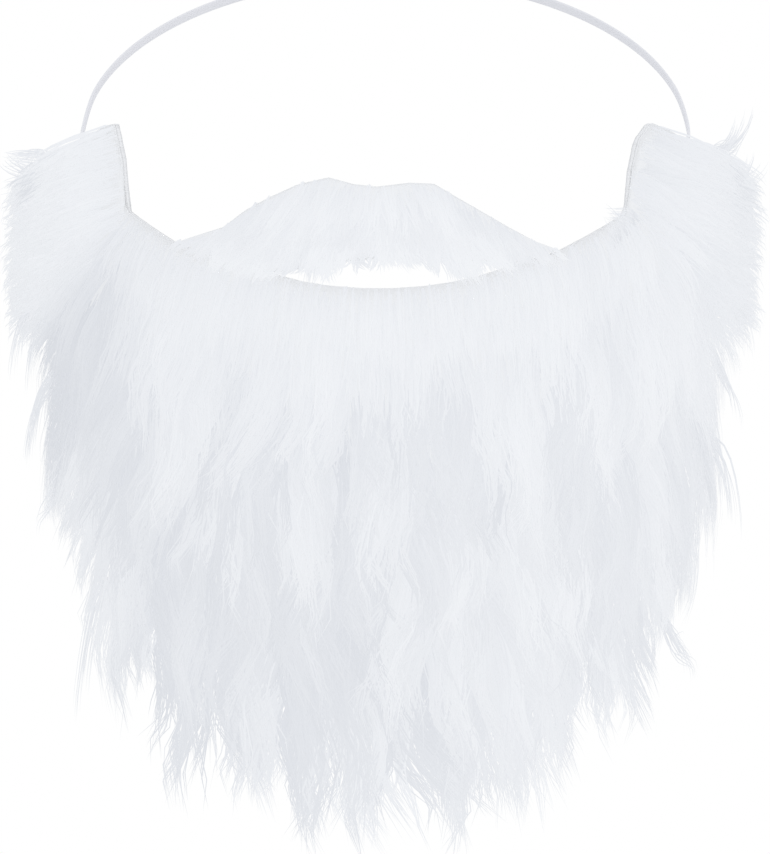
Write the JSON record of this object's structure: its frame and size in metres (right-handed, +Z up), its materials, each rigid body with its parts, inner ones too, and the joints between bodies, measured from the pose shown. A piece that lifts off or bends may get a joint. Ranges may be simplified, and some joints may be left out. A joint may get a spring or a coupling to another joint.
{
  "type": "fake beard",
  "caption": "Costume beard of long white pile fur with sideburn tabs, a separate moustache strip over a mouth slit and a thin elastic round the head.",
  "frame": {"origin": "middle of the mouth line, on the side of the backing cloth that rests on the face", "axes": "+X to the right as the beard is seen from the front, +Y towards the face and the back of the head, +Z up"},
  "size_m": [0.2288, 0.1947, 0.279],
  "materials": {
    "backing_cloth": "white warp-knit backing cloth, matt",
    "white_pile": "long white synthetic fur pile, soft sheen",
    "white_elastic": "white ribbed flat elastic, matt",
    "sewing_thread": "white polyester thread in close bars"
  },
  "bodies": {
    "root": {"beard_backing": "backing_cloth", "beard_fur": "white_pile", "moustache_backing": "backing_cloth", "moustache_fur": "white_pile", "elastic_strap": "white_elastic", "strap_tack_left": "sewing_thread", "strap_tack_right": "sewing_thread"}
  },
  "joints": []
}
